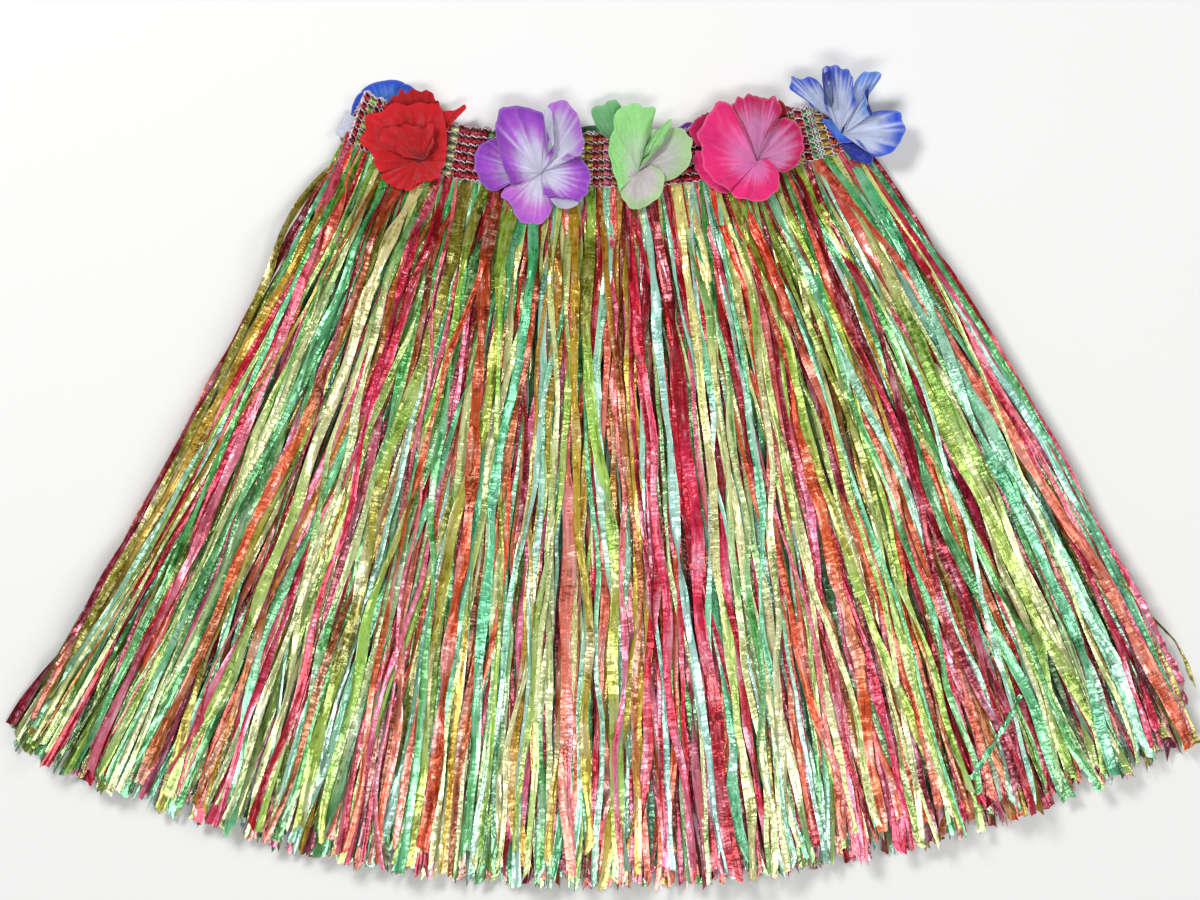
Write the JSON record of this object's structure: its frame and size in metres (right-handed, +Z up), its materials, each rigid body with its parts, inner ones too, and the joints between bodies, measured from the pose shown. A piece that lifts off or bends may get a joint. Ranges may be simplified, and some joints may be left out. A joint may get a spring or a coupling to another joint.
{
  "type": "grass skirt",
  "caption": "Multicoloured costume grass skirt laid flat: a knitted waistband, a front and a back curtain of film raffia strands, cloth flowers on both faces and a closure tab.",
  "frame": {"origin": "middle of the footprint, on the surface that the skirt lies on", "axes": "+X across the skirt from the open side to the folded side, +Y from the hem to the waist, +Z up out of the front of the skirt"},
  "size_m": [0.6253, 0.4436, 0.0287],
  "materials": {
    "waistband": "knitted film raffia with white thread",
    "closure_tab": "hook and loop tape",
    "front_fringe_outer": "crinkled gloss",
    "front_fringe_inner": "crinkled gloss",
    "back_fringe_inner": "crinkled gloss",
    "back_fringe_outer": "crinkled gloss",
    "flower_red": "matte polyester",
    "flower_purple": "matte polyester",
    "flower_green": "matte polyester",
    "flower_pink": "matte polyester",
    "flower_blue": "matte polyester",
    "back_flower_blue": "matte polyester",
    "back_flower_pink": "matte polyester",
    "back_flower_green": "matte polyester",
    "back_flower_purple": "matte polyester",
    "back_flower_red": "matte polyester"
  },
  "bodies": {
    "root": {"waistband": "waistband", "closure_tab": "closure_tab", "front_fringe_outer": "front_fringe_outer", "front_fringe_inner": "front_fringe_inner", "back_fringe_inner": "back_fringe_inner", "back_fringe_outer": "back_fringe_outer", "flower_red": "flower_red", "flower_purple": "flower_purple", "flower_green": "flower_green", "flower_pink": "flower_pink", "flower_blue": "flower_blue", "back_flower_blue": "back_flower_blue", "back_flower_pink": "back_flower_pink", "back_flower_green": "back_flower_green", "back_flower_purple": "back_flower_purple", "back_flower_red": "back_flower_red"}
  },
  "joints": []
}
